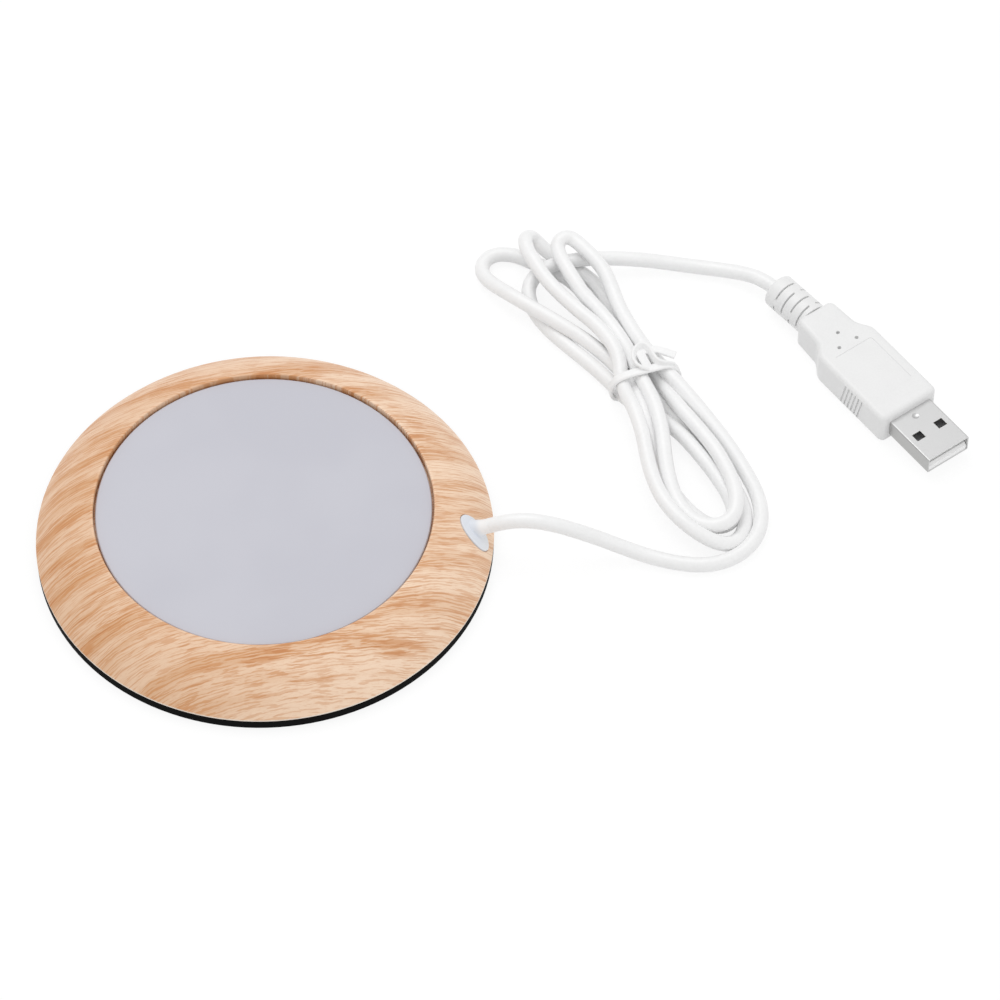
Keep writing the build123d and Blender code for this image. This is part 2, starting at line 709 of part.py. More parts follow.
with BuildPart() as cord_hank:
    with BuildSketch():
        with Locations(low_loop[:2]):
            Circle(low_loop[2])
        with Locations(waist_low):
            Circle(waist_w / 2)
        make_hull()
    extrude(amount=strands_h)
    with BuildSketch():
        with Locations(waist_low, waist_high):
            Circle(waist_w / 2)
        make_hull()
    extrude(amount=strands_h)
    with BuildSketch():
        with Locations(waist_high):
            Circle(waist_w / 2)
        for x, y, r in high_loops:
            with Locations((x, y)):
                Circle(r)
        make_hull()
    extrude(amount=strands_h)
    fillet(cord_hank.edges().group_by(Axis.Z)[-1], hank_round)
    # the tie's wire underneath lifts the strands at the waist
    with BuildSketch():
        with Locations(waist_low, waist_high):
            Circle(waist_w / 2 - hank_round - waist_hump_in)
        make_hull()
    extrude(amount=strands_h + tie_wire_d)
    fillet(cord_hank.edges().group_by(Axis.Z)[-1], tie_wire_d / 2)
    with BuildSketch():
        for x, y, r in crossing_loops:
            with Locations((x, y)):
                Circle(r)
        make_hull()
    extrude(amount=strands_h + cord_d)
    fillet(cord_hank.edges().group_by(Axis.Z)[-1], hank_round)
    # notch under the waist, where the tie runs between hank and table
    with BuildSketch(tie_plane):
        with Locations((0, 0)):
            Rectangle(3 * waist_w, 2 * (tie_wire_d + tie_clear))
    extrude(amount=tie_wire_d, both=True, mode=Mode.SUBTRACT)

# plastic-coated wire round the waist, with its twisted knot and two ends on top
tie_low = tie_wire_d / 2
tie_high = tie_low + tie_mid_h
tie_half = tie_mid_w / 2

with BuildPart() as twist_tie:
    with BuildLine(tie_plane) as tie_ring:
        FilletPolyline((-tie_half, tie_low), (tie_half, tie_low), (tie_half, tie_high),
                       (-tie_half, tie_high), radius=tie_bend, close=True)
    with BuildSketch(Plane(origin=tie_ring.wire() @ 0, z_dir=tie_ring.wire() % 0)):
        Circle(tie_wire_d / 2)
    sweep(path=tie_ring.wire())
    # the knot, and the twisted end that stands off it in a loop
    with BuildSketch(Plane(origin=(waist_x, waist_y, tie_high), z_dir=-waist_dir)):
        with Locations((0, 0.6)):
            Ellipse(knot_w / 2, knot_h / 2)
    extrude(amount=knot_l / 2, both=True)
    with BuildLine() as tie_end:
        FilletPolyline(*tie_end_route, radius=tie_end_bend)
    with BuildSketch(Plane(origin=tie_end.wire() @ 0, z_dir=tie_end.wire() % 0)):
        Circle(tie_wire_d / 2)
    sweep(path=tie_end.wire())
    # the flat end
    with BuildLine() as tie_flat:
        Line(*tie_flat_route)
    with BuildSketch(Plane(origin=tie_flat.wire() @ 0, z_dir=tie_flat.wire() % 0)):
        Rectangle(tie_flat_w, tie_flat_t)
    sweep(path=tie_flat.wire())

# ---------------------------------------------------------------- plug
shell_under = plug_mid_z - shell_h / 2
shell_top = shell_under + shell_h
boot_end = Vector(*tail_route[-1])
plug_rear = Vector(*on_plug(-plug_l, 0, boot_end.Z))
boot_l = (plug_rear - boot_end).length
boot_dir = (plug_rear - boot_end).normalized()
boot_plane = Plane(origin=boot_end, x_dir=Vector(0, 0, 1).cross(boot_dir), z_dir=boot_dir)

with BuildPart() as plug_body:
    with BuildSketch(plug_plane):
        with BuildLine():
            front = plug_w / 2
            Polyline((-shoulder_x, front), (0, front), (0, -front), (-shoulder_x, -front))
            Spline((-shoulder_x, -front), (-waist_back, -tail_w / 2), tangents=((-1, 0), (-1, 0.05)))
            Polyline((-waist_back, -tail_w / 2), (-plug_l, -rear_w / 2), (-plug_l, rear_w / 2),
                     (-waist_back, tail_w / 2))
            Spline((-waist_back, tail_w / 2), (-shoulder_x, front), tangents=((1, 0.05), (1, 0)))
        make_face()
    extrude(amount=plug_h)
    fillet(plug_body.edges().filter_by(Axis.Z), plug_side_round)
    fillet(plug_body.faces().filter_by(Axis.Z).edges(), plug_round)
    with BuildSketch(plug_plane.offset(plug_h)):
        with Locations((-panel_x, 0)):
            RectangleRounded(panel_l, panel_w, panel_corner)
    extrude(amount=-panel_depth, mode=Mode.SUBTRACT)
    with BuildSketch(plug_plane.offset(plug_h)):
        with Locations((-dimple_x, 0), (-dimple_x + dimple_step, dimple_pitch / 2),
                       (-dimple_x + dimple_step, -dimple_pitch / 2)):
            Circle(dimple_d / 2)
    extrude(amount=-dimple_depth, mode=Mode.SUBTRACT)
    # slanted finger grooves in both sides
    for side in (1, -1):
        side_plane = Plane(origin=on_plug(0, side * plug_w / 2), x_dir=plug_plane.x_dir,
                           z_dir=plug_plane.y_dir * side)
        with BuildSketch(side_plane):
            with Locations(*[(-(grip_x + (i - (grip_count - 1) / 2) * grip_pitch), -side * plug_mid_z)
                             for i in range(grip_count)]):
                SlotOverall(grip_l, grip_w, rotation=90 + grip_lean * side)
        extrude(amount=-grip_depth, mode=Mode.SUBTRACT)
    # slot for the shell
    with BuildSketch(Plane(origin=on_plug(0, 0, plug_mid_z), x_dir=plug_plane.y_dir,
                           z_dir=plug_plane.x_dir)):
        RectangleRounded(shell_w, shell_h, shell_corner)
    extrude(amount=-shell_in, mode=Mode.SUBTRACT)

with BuildPart() as plug_shell:
    with BuildSketch(Plane(origin=on_plug(-shell_in, 0, plug_mid_z), x_dir=plug_plane.y_dir,
                           z_dir=plug_plane.x_dir)):
        RectangleRounded(shell_w, shell_h, shell_corner)
        Rectangle(shell_w - 2 * shell_wall, shell_h - 2 * shell_wall, mode=Mode.SUBTRACT)
    extrude(amount=shell_in + shell_out)
    # latch windows above and below
    with BuildSketch(plug_plane.offset(plug_mid_z)):
        with Locations((window_x, window_pitch / 2), (window_x, -window_pitch / 2)):
            Rectangle(window_l, window_w)
    extrude(amount=shell_h, both=True, mode=Mode.SUBTRACT)
    # the dimple stamped into the top wall, which bulges inside
    with BuildSketch(plug_plane.offset(shell_top - shell_wall)):
        with Locations((detent_x, 0)):
            Circle(detent_d / 2)
    extrude(amount=-detent_depth)
    detent_r = ((detent_d / 2) ** 2 + detent_depth**2) / (2 * detent_depth)
    with Locations(on_plug(detent_x, 0, shell_top - detent_depth + detent_r)):
        Sphere(detent_r, mode=Mode.SUBTRACT)

tongue_z = shell_under + shell_wall
tongue_w = shell_w - 2 * (shell_wall + tongue_side_gap)

with BuildPart() as plug_tongue:
    with BuildSketch(Plane(origin=on_plug(-shell_in, 0, tongue_z + tongue_t / 2),
                           x_dir=plug_plane.y_dir, z_dir=plug_plane.x_dir)):
        Rectangle(tongue_w, tongue_t)
    extrude(amount=shell_in + shell_out - tongue_short)
    tongue_end = plug_tongue.faces().sort_by(Axis((0, 0, 0), plug_plane.x_dir))[-1]
    chamfer(tongue_end.edges().sort_by(Axis.Z)[-1], tongue_chamfer)
    # shallow lanes the contacts lie in
    with BuildSketch(plug_plane.offset(tongue_z + tongue_t)):
        with Locations(*[(shell_out - tongue_short - contact_inset - contact_l / 2,
                          (i - 1.5) * contact_pitch) for i in range(4)]):
            Rectangle(contact_l, contact_w)
    extrude(amount=-contact_t / 2, mode=Mode.SUBTRACT)

with BuildPart() as plug_contacts:
    with BuildSketch(plug_plane.offset(tongue_z + tongue_t - contact_t / 2)):
        with Locations(*[(shell_out - tongue_short - contact_inset - contact_l / 2,
                          (i - 1.5) * contact_pitch) for i in range(4)]):
            Rectangle(contact_l, contact_w)
    extrude(amount=contact_t)

# slitted boot, cut square by the plug body's rear face
with BuildPart() as plug_boot:
    with BuildSketch(boot_plane):
        Circle(boot_d / 2)
    extrude(amount=boot_l + boot_d)
    fillet(plug_boot.faces().sort_by(Axis(boot_end, boot_dir))[0].edges(), boot_round)
    for row in range(boot_slit_rows):
        with BuildSketch(boot_plane.offset(boot_first_slit + row * boot_slit_pitch)):
            Circle(boot_d)
            Circle(boot_d / 2 - boot_slit_depth, mode=Mode.SUBTRACT)
            with PolarLocations(boot_d / 2, boot_slits, start_angle=boot_bridge_turn + row % 2 * boot_row_turn):
                Rectangle(boot_d, boot_bridge_w, mode=Mode.SUBTRACT)
        extrude(amount=boot_slit_w, mode=Mode.SUBTRACT)
    with BuildSketch(Plane(origin=on_plug(-plug_l, 0, boot_end.Z), z_dir=plug_plane.x_dir)):
        Circle(2 * boot_d)
    extrude(amount=2 * boot_d, mode=Mode.SUBTRACT)

nodes = {
    "ring_cover": ring_cover, "heating_plate": heating_plate, "plate_seal": plate_seal,
    "thermal_sheet": thermal_sheet, "heater_track": heater_track, "heater_film": heater_film,
    "solder_joints": solder_joints, "insulation_felt": insulation_felt,
    "pressure_plate": pressure_plate, "plate_screws": plate_screws, "thermostat": thermostat,
    "thermostat_clip": thermostat_clip, "live_wire": live_wire, "link_wire": link_wire,
    "return_wire": return_wire, "inner_cord": inner_cord, "cord_clamp": cord_clamp,
    "clamp_screws": clamp_screws, "base_tray": base_tray, "base_pad": base_pad,
    "case_screws": case_screws, "cord_grommet": cord_grommet, "cord_lead": cord_lead,
    "cord_hank": cord_hank, "cord_tail": cord_tail, "twist_tie": twist_tie,
    "plug_boot": plug_boot, "plug_body": plug_body, "plug_shell": plug_shell,
    "plug_tongue": plug_tongue, "plug_contacts": plug_contacts,
}

for label, node in nodes.items():
    node.part.label = label
    export_step(node.part, f"parts/{label}.step")
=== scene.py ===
"""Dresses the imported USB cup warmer: printed wood ring, heating plate, cord, tie and plug.

Everything sits in the part's own frame: +Z up, +X from the middle of the warmer to its
cord grommet, the origin on the table under the middle. Lengths are in metres, apart from
the routes and the places in the finishes, which are in millimetres.
"""

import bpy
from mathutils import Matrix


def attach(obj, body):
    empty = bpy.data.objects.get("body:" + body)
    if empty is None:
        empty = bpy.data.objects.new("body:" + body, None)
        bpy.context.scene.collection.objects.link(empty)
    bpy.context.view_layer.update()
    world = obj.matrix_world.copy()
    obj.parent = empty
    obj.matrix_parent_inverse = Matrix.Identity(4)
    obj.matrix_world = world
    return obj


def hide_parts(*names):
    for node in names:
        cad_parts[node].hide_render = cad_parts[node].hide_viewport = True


bl_info = {
    "name": "Cup Warmer",
    "version": (1, 0, 0),
    "blender": (4, 5, 0),
    "location": "3D View > Sidebar > Cup Warmer",
    "description": "Finishes and soft pieces of a USB cup warmer",
    "category": "Object",
}

from math import cos, radians, sin

import bpy
from bpy.props import FloatProperty, FloatVectorProperty, IntProperty, PointerProperty
from mathutils import Vector

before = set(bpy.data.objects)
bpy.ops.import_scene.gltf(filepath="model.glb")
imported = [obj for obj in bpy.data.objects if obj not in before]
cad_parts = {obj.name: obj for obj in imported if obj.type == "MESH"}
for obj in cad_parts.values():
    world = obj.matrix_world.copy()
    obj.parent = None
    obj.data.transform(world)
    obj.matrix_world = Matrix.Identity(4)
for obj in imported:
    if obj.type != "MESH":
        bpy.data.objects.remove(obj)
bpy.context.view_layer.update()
MM = 0.001


# ---------------------------------------------------------------- stage, in metres
CAMERA_AIM = Vector((0.05285, 0.01611, 0.0))
CAMERA_CLIP = (0.05, 20.0)
SENSOR_WIDTH = 36.0     # in millimetres, like the lens
TABLE_SIZE = 12.0

# the table glows by a share where it is seen, and the rest of it takes the shadows
TABLE_GLOW = 1.08
TABLE_GLOW_SHARE = 0.8

# where each lamp stands, and the side of its square
LAMP_AIM = Vector((0.05, 0.03, 0.0))
LAMPS = {
    "overhead": ((-0.15, 0.35, 0.9), 0.7),
    "front_fill": ((0.8, -0.75, 0.5), 0.9),
}


# ---------------------------------------------------------------- wood print, in millimetres
WOOD_ROUGHNESS = 0.42
WOOD_ROUGHNESS_SWING = 0.12
WOOD_COAT = 0.08
WOOD_COAT_ROUGHNESS = 0.3
WOOD_RELIEF = 0.06

# the grain's lines rise to the right, bow up with the cube of x, and sway: each sway's pace
# along x and y, its layer of noise, and how far it moves them
GRAIN_BOW = 0.00003
GRAIN_SWAYS = (
    (0.03, 0.03, 3.0, 2.5),
    (0.13, 0.13, 5.0, 1.1),
    (0.6, 0.4, 6.0, 0.22),
)

# each noise's pace along the lines and across them, its layer, detail and roughness, and
# the two heights between which its mark comes in
GRAIN_NOISES = {
    "bands": (0.022, 0.16, 1.0, 2.0, 0.55, (0.42, 0.62)),
    "patches": (0.05, 0.09, 7.0, 1.0, 0.5, (0.35, 0.65)),
    "streaks": (0.07, 1.3, 2.0, 2.0, 0.6, (0.55, 0.65)),
    "dashes": (0.2, 2.6, 9.0, 2.0, 0.5, (0.53, 0.59)),
    "pores": (0.9, 5.0, 4.0, 1.0, 0.5, (0.5, 0.7)),
}

# the grain crowds in bands and patches, which brings in more streaks and dashes
CROWD_OF_BANDS = 0.6
CROWD_OF_PATCHES = 0.4
STREAKS_WITH_CROWD = 0.06
DASHES_WITH_CROWD = 0.05

# the ground's share of band colour: at the left edge and its fall to the right edge, painted
# shade that darkens the left side where less light falls, and what the bands and patches add
PAINTED_SHADE_SPAN = (-50.0, 50.0)
PAINTED_SHADE_AT_LEFT = 0.42
PAINTED_SHADE_FALL = 0.5
GROUND_OF_BANDS = 0.5
GROUND_OF_PATCHES = 0.1

# the ink of each mark where the grain is sparse, and what a full crowd adds to it
STREAK_INK = (0.3, 0.45)
DASH_INK = (0.42, 0.4)
DEEP_INK = (0.25, 0.75)
DEEP_SHARE = 0.6
PORE_SHARE = 0.18

# painted light: the print is lighter towards the grommet, on the right where more light falls
PAINTED_LIGHT_SPAN = (25.0, 60.0)
PAINTED_LIGHT_SHARE = 0.3

# the print ends softly at the bare lower edge, whose colour, bare plastic and a painted highlight
# along the lip, covers it by a share
EDGE_BLUR = 0.06
EDGE_AND_HIGHLIGHT_SHARE = 0.8


# ---------------------------------------------------------------- other finishes
# heights of a noise, which lies about 0.5, between which a second tone comes in
EVEN = (0.35, 0.65)
FLECKED = (0.35, 0.7)
BRUSHED = (0.3, 0.75)

PLATE_CLOUDING = 0.35
PLATE_LEAST_ROUGHNESS = 0.34
PLATE_ROUGHNESS_SWING = 0.1

FLECK_OF_GRAIN = 0.6
FLECK_OF_CLOUD = 0.4
ROUGHNESS_SWING = 0.08
BRUSHED_SMOOTHING = 0.03
BRUSHED_DIMMING = 0.86
BLACK_SPECULAR = 0.08
JACKET_COAT = 0.25
JACKET_COAT_ROUGHNESS = 0.2


# ---------------------------------------------------------------- cord's route, in millimetres
# the route's control points, from the grommet, down and up the hank's strands, to the plug
LEAD = [
    (51.60, 1.07, 9.73), (55.90, 1.07, 11.90), (61.40, 1.00, 12.50), (66.60, 0.95, 11.50),
    (71.30, 1.30, 9.20), (76.00, 1.80, 6.50), (81.60, 1.60, 3.80), (87.80, 0.60, 2.10),
    (94.00, -0.60, 1.75), (100.20, -1.00, 1.75),
]
LOWER_OUTER = [
    (105.6, 0.5, 1.75), (110.3, 3.9, 2.01), (113.0, 9.1, 2.14), (113.4, 15.1, 2.10),
    (112.0, 20.9, 1.87), (109.2, 26.8, 1.87), (105.4, 33.1, 2.51), (100.6, 39.3, 3.83),
    (95.4, 45.2, 5.53), (90.0, 51.1, 6.77),
]
UPPER_RIGHT = [
    (84.8, 57.5, 6.27), (80.8, 64.3, 5.81), (77.2, 71.0, 6.10), (74.9, 77.1, 7.00),
    (72.9, 81.1, 7.90), (70.3, 84.1, 8.50), (67.7, 86.7, 8.90), (65.6, 88.7, 9.00),
    (63.9, 89.2, 9.50), (62.0, 88.2, 9.30), (61.6, 86.3, 8.50), (62.5, 83.8, 8.30),
    (63.7, 81.4, 8.40), (65.0, 79.1, 8.20), (66.7, 76.4, 7.80), (68.8, 73.5, 6.90),
    (72.0, 70.5, 5.99), (76.5, 64.6, 5.84), (80.8, 57.3, 5.62),
]
LOWER_TOP = [
    (83.6, 49.6, 6.51), (86.7, 43.3, 6.66), (88.7, 37.3, 6.26), (89.8, 31.4, 5.89),
    (90.6, 25.4, 5.54), (92.0, 19.5, 5.13), (94.0, 14.5, 4.64), (96.8, 10.8, 4.20),
    (100.4, 8.7, 4.25), (104.2, 8.6, 4.82), (106.9, 10.7, 5.59), (107.6, 14.3, 6.16),
    (106.9, 18.8, 6.27), (104.9, 24.2, 5.90), (101.7, 30.5, 5.77), (97.1, 37.0, 5.52),
    (91.9, 44.0, 4.93),
]
UPPER_MIDDLE = [
    (87.4, 52.3, 3.79), (84.4, 59.1, 2.30), (81.1, 64.2, 1.75), (77.4, 70.3, 1.75),
    (74.2, 76.4, 1.86), (71.2, 81.4, 1.87), (67.7, 84.7, 1.75), (64.2, 86.7, 1.90),
    (61.1, 88.3, 2.70), (58.3, 89.8, 3.80), (56.3, 91.2, 4.90), (55.1, 91.4, 6.15),
    (54.0, 90.2, 7.35), (53.8, 88.1, 7.96), (54.7, 85.1, 7.95), (56.4, 82.1, 8.21),
    (58.4, 78.7, 7.94), (61.7, 74.7, 7.25), (67.1, 69.6, 6.47), (73.1, 63.9, 6.84),
    (78.1, 56.5, 6.76),
]
LOWER_MIDDLE = [
    (79.2, 47.5, 5.60), (82.6, 40.0, 6.60), (84.9, 33.0, 6.36), (86.2, 26.6, 5.95),
    (87.8, 20.6, 5.89), (90.2, 14.9, 5.94), (93.6, 10.0, 5.99), (98.0, 6.3, 5.27),
    (102.6, 4.5, 3.82), (106.2, 4.9, 2.42), (108.7, 7.4, 1.76), (109.8, 11.2, 1.75),
    (109.4, 15.8, 1.75), (107.3, 21.3, 1.75), (103.4, 27.5, 1.75), (98.7, 34.3, 1.75),
    (92.6, 42.0, 1.75),
]
UPPER_LEFT = [
    (85.7, 50.1, 1.75), (81.3, 58.0, 2.55), (77.0, 64.9, 2.65), (73.0, 70.9, 2.20),
    (69.8, 76.2, 1.94), (66.6, 80.7, 1.92), (63.0, 83.7, 1.82), (59.6, 85.4, 1.75),
    (56.2, 86.8, 1.75), (53.2, 88.3, 1.81), (50.0, 89.2, 1.92), (46.6, 88.9, 1.91),
    (44.2, 86.9, 1.80), (43.6, 83.9, 1.84), (45.0, 80.6, 2.46), (47.8, 77.3, 3.70),
    (51.8, 73.7, 4.86), (57.1, 69.8, 5.37), (63.7, 66.1, 4.68), (70.4, 62.3, 3.43),
    (76.6, 56.9, 2.88),
]
LOWER_INNER = [
    (82.5, 48.4, 4.25), (85.1, 40.0, 4.78), (87.4, 33.2, 3.23), (89.3, 26.8, 2.13),
    (91.6, 21.4, 1.92), (94.6, 16.7, 1.87), (98.2, 12.9, 1.75), (101.6, 10.7, 1.75),
    (104.8, 10.4, 1.90), (107.0, 12.2, 2.40), (106.9, 15.4, 3.00), (105.3, 19.2, 3.38),
    (102.5, 24.0, 3.43), (98.6, 29.6, 3.54), (94.0, 35.7, 3.38), (88.7, 41.7, 1.75),
]
OUTER_LEFT = [
    (82.4, 45.2, 1.75), (79.0, 48.3, 1.75), (76.4, 51.5, 1.75), (71.8, 56.3, 1.75),
    (65.7, 61.8, 1.79), (60.4, 67.0, 1.75), (56.8, 72.0, 2.02), (55.1, 76.7, 2.91),
    (56.2, 80.6, 4.08),
]
TAIL = [
    (59.84, 83.67, 5.02), (66.04, 85.89, 5.18), (74.39, 87.61, 4.45), (83.55, 88.52, 3.23),
    (92.54, 88.38, 2.19), (100.58, 87.63, 2.20), (106.00, 86.10, 3.20), (110.80, 83.60, 4.30),
    (114.45, 80.50, 4.40),
]
ROUTE = (LEAD + LOWER_OUTER + UPPER_RIGHT + LOWER_TOP + UPPER_MIDDLE + LOWER_MIDDLE + UPPER_LEFT
         + LOWER_INNER + OUTER_LEFT + TAIL)
CORD_STEPS = 6


# ---------------------------------------------------------------- tie, in millimetres
# its closed turn round the waist of the hank, as steps across it and heights
TIE_SPOT = Vector((84.6, 50.1, 0.0))
TIE_ACROSS = Vector((0.94, 0.342, 0.0))
TIE_TURN = [
    (-4.4, 0.5), (-1.6, 0.5), (2.4, 0.5), (5.8, 1.2), (8.0, 2.8), (8.4, 4.8), (7.7, 7.2),
    (5.6, 9.1), (2.6, 8.9), (0.0, 8.8), (-1.8, 8.8), (-3.8, 8.7), (-5.6, 8.3), (-7.4, 7.5),
    (-8.4, 5.6), (-8.6, 3.0), (-7.6, 0.9),
]
# on top, the loop of one end, the knot that holds the loop's foot, and the other end
TIE_LOOP = [
    (85.2, 50.3, 8.9), (83.2, 50.4, 9.4), (81.8, 51.9, 9.7), (81.6, 54.0, 9.7),
    (82.2, 55.8, 9.8), (83.5, 56.7, 9.9), (84.9, 55.7, 10.0), (85.8, 53.9, 10.0),
    (86.8, 52.2, 9.8), (88.2, 51.6, 9.5), (90.0, 52.0, 9.0), (90.9, 52.3, 8.2),
]
TIE_KNOT = [
    (82.4, 55.9, 8.9), (83.1, 54.3, 9.5), (84.1, 52.2, 9.7), (85.2, 50.6, 8.9),
]
TIE_END = [
    (83.6, 55.4, 9.0), (86.0, 56.2, 9.2), (88.4, 55.6, 9.4), (91.3, 54.7, 9.1),
]
TIE_LOOP_TILT = radians(50.0)

# how finely the strap's lines and section are drawn, its steps in metres and the radius of
# its corners as a share of its thickness
STRAP_LINE_STEPS = 10
STRAP_STEP = 0.0004
STRAP_CORNER = 0.48
STRAP_CORNER_STEPS = 5


# ---------------------------------------------------------------- grommet and plug, in millimetres
# the foot of the grommet's nose, the nose's way out and up, and how far along it the disc's
# tint runs out
NOSE_ROOT = (48.46, 8.13)
NOSE_WAY = (0.891, 0.454)
NOSE_FADE = (0.3, 2.2)

# the plug's face, the way to its mouth and its mid height
PLUG_FACE = Vector((146.55, 44.03))
PLUG_WAY = Vector((cos(radians(-49.6)), sin(radians(-49.6))))
PLUG_MID = 4.4

# each is where one finish or painted shade gives way to the next: forwards from the plug's face,
# outwards from its middle line, or up and down from its mid height
# where the tongue's painted shade gives way to its white front
TONGUE_PAINTED_SHADE_END = (10.6, 12.6)
SHELL_MOUTH = (11.0, 12.5)
SHELL_WALL = (5.75, 5.9)
# where the painted shade on the shell's outer sides begins
SHELL_PAINTED_SHADE_SIDE = (5.8, 5.95)
SHELL_ROOF = (2.0, 2.15)
MOUTH_DULLING = 0.75


# ---------------------------------------------------------------- small helpers
def tint(code):
    """A hex colour as the linear red, green, blue and alpha that a socket takes."""
    parts = [int(code[i:i + 2], 16) / 255 for i in (0, 2, 4)]
    linear = [p / 12.92 if p <= 0.04045 else ((p + 0.055) / 1.055) ** 2.4 for p in parts]
    return (*linear, 1.0)


def opaque(colour):
    """A colour property's three numbers with full alpha."""
    return (*colour[:3], 1.0)


def dimmed(colour, share):
    """A share of a colour's light, with full alpha."""
    return (*(c * share for c in colour[:3]), 1.0)


class Value:
    """The output of a shader node, for use in Python arithmetic."""

    def __init__(self, finish, socket):
        self.finish = finish
        self.socket = socket

    def math(self, operation, *others, clamp=False):
        """This value and others through a Math node."""
        settings = {"operation": operation, "use_clamp": clamp}
        return self.finish.node("ShaderNodeMath", settings, [self, *others])

    def __add__(self, other):
        return self.math("ADD", other)

    __radd__ = __add__

    def __mul__(self, other):
        return self.math("MULTIPLY", other)

    def __sub__(self, other):
        return self.math("SUBTRACT", other)

    def __rsub__(self, other):
        return self.finish.node("ShaderNodeMath", {"operation": "SUBTRACT"}, [other, self])

    def __abs__(self):
        return self.math("ABSOLUTE")

    def smooth(self, low, high):
        """0 below low, 1 above high, and smooth between them."""
        return self.finish.node("ShaderNodeMapRange", {"interpolation_type": "SMOOTHSTEP"},
                                {"Value": self, "From Min": low, "From Max": high})

    def clip(self):
        """Held between 0 and 1."""
        return self.math("ADD", 0.0, clamp=True)


class Finish:
    """One material: a Principled shader, and a way to add the nodes behind it."""

    def __init__(self, name, colour, roughness, metallic=0.0):
        self.material = bpy.data.materials.new(name)
        self.material.use_nodes = True
        self.tree = self.material.node_tree
        self.tree.nodes.clear()
        self.output = self.tree.nodes.new("ShaderNodeOutputMaterial")
        self.shader = self.tree.nodes.new("ShaderNodeBsdfPrincipled")
        self.tree.links.new(self.shader.outputs[0], self.output.inputs["Surface"])
        self.material.diffuse_color = colour
        self.set("Base Color", colour)
        self.set("Roughness", roughness)
        self.set("Metallic", metallic)

    def node(self, kind, settings=None, inputs=(), output=0):
        """Adds a node: its settings first, then the values or links of its sockets."""
        made = self.tree.nodes.new(kind)
        for name, value in (settings or {}).items():
            setattr(made, name, value)
        for key, value in (inputs.items() if isinstance(inputs, dict) else enumerate(inputs)):
            if isinstance(value, Value):
                self.tree.links.new(value.socket, made.inputs[key])
            else:
                made.inputs[key].default_value = value
        return Value(self, made.outputs[output])

    def set(self, socket, value):
        """Sets or links one of the Principled shader's own sockets."""
        if isinstance(value, Value):
            self.tree.links.new(value.socket, self.shader.inputs[socket])
        else:
            self.shader.inputs[socket].default_value = value

    def place(self):
        """Object coordinates in millimetres, as three numbers."""
        spot = self.node("ShaderNodeTexCoord", output="Object")
        split = self.node("ShaderNodeSeparateXYZ", inputs=[spot])
        return [Value(self, socket) * 1000.0 for socket in split.socket.node.outputs]

    def vector(self, x, y, z):
        return self.node("ShaderNodeCombineXYZ", inputs=[x, y, z])

    def noise(self, place, scale=1.0, detail=2.0, rough=0.5):
        return self.node("ShaderNodeTexNoise", {"noise_dimensions": "3D"},
                         {"Vector": place, "Scale": scale, "Detail": detail, "Roughness": rough})

    def mix(self, factor, first, second):
        """The first colour, and by its factor the second."""
        return self.node("ShaderNodeMix", {"data_type": "RGBA"},
                         {0: factor, 6: first, 7: second}, output=2)

    def bump(self, height, strength, distance):
        """Surface relief, with its depth in millimetres."""
        relief = self.node("ShaderNodeBump", inputs={
            "Strength": strength, "Distance": distance * MM, "Height": height})
        self.set("Normal", relief)


def dress(node, finish):
    """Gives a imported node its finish."""
    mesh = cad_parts[node].data
    mesh.materials.clear()
    mesh.materials.append(finish.material)


def add_piece(name, data):
    """A new piece of the warmer, in place in its mesh or curve, riding on the only body."""
    piece = bpy.data.objects.new(name, data)
    bpy.context.scene.collection.objects.link(piece)
    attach(piece, "root")
    return piece


def nurbs_line(curve, points, closed=False, tilt=0.0):
    """Adds an open or closed NURBS line to a curve, with its control points in millimetres."""
    line = curve.splines.new("NURBS")
    line.points.add(len(points) - 1)
    for spot, place in zip(line.points, points):
        spot.co = (*(c * MM for c in place), 1.0)
        spot.tilt = tilt
    line.order_u = 3
    line.use_endpoint_u = not closed
    line.use_cyclic_u = closed


class Tree:
    """A Geometry Nodes tree under construction, with named number inputs."""

    def __init__(self, name, inputs):
        self.group = bpy.data.node_groups.new(name, "GeometryNodeTree")
        sockets = self.group.interface
        sockets.new_socket("Geometry", in_out="INPUT", socket_type="NodeSocketGeometry")
        for title, default in inputs.items():
            socket = sockets.new_socket(title, in_out="INPUT", socket_type="NodeSocketFloat")
            socket.default_value = default
        sockets.new_socket("Geometry", in_out="OUTPUT", socket_type="NodeSocketGeometry")
        self.source = self.group.nodes.new("NodeGroupInput")
        self.result = self.group.nodes.new("NodeGroupOutput")

    def given(self, name):
        """One of the tree's own inputs."""
        return self.source.outputs[name]

    def add(self, kind, settings=None, inputs=None, output=0):
        """Adds a node: its settings first, then the values or links of its sockets."""
        made = self.group.nodes.new(kind)
        for name, value in (settings or {}).items():
            setattr(made, name, value)
        for key, value in (inputs or {}).items():
            if isinstance(value, bpy.types.NodeSocket):
                self.group.links.new(value, made.inputs[key])
            else:
                made.inputs[key].default_value = value
        return made.outputs[output]

    def end(self, geometry, material):
        """Realizes the instances, sets the material and closes the tree."""
        real = self.add("GeometryNodeRealizeInstances", inputs={"Geometry": geometry})
        done = self.add("GeometryNodeSetMaterial", inputs={"Geometry": real, "Material": material})
        self.group.links.new(done, self.result.inputs[0])
        return self.group


def grown(name, data, group, values):
    """The plain mesh that a Geometry Nodes tree makes of a curve.

    The tree's inputs are set by their identifiers, and its modifier is gone afterwards.
    """
    holder = bpy.data.objects.new(name + "_source", data)
    bpy.context.scene.collection.objects.link(holder)
    modifier = holder.modifiers.new("grown", "NODES")
    modifier.node_group = group
    for item in group.interface.items_tree:
        if item.in_out == "INPUT" and item.name in values:
            modifier[item.identifier] = values[item.name]
    depsgraph = bpy.context.evaluated_depsgraph_get()
    depsgraph.update()
    mesh = bpy.data.meshes.new_from_object(holder.evaluated_get(depsgraph))
    holder.modifiers.remove(modifier)
    bpy.data.objects.remove(holder)
    mesh.name = name
    return mesh


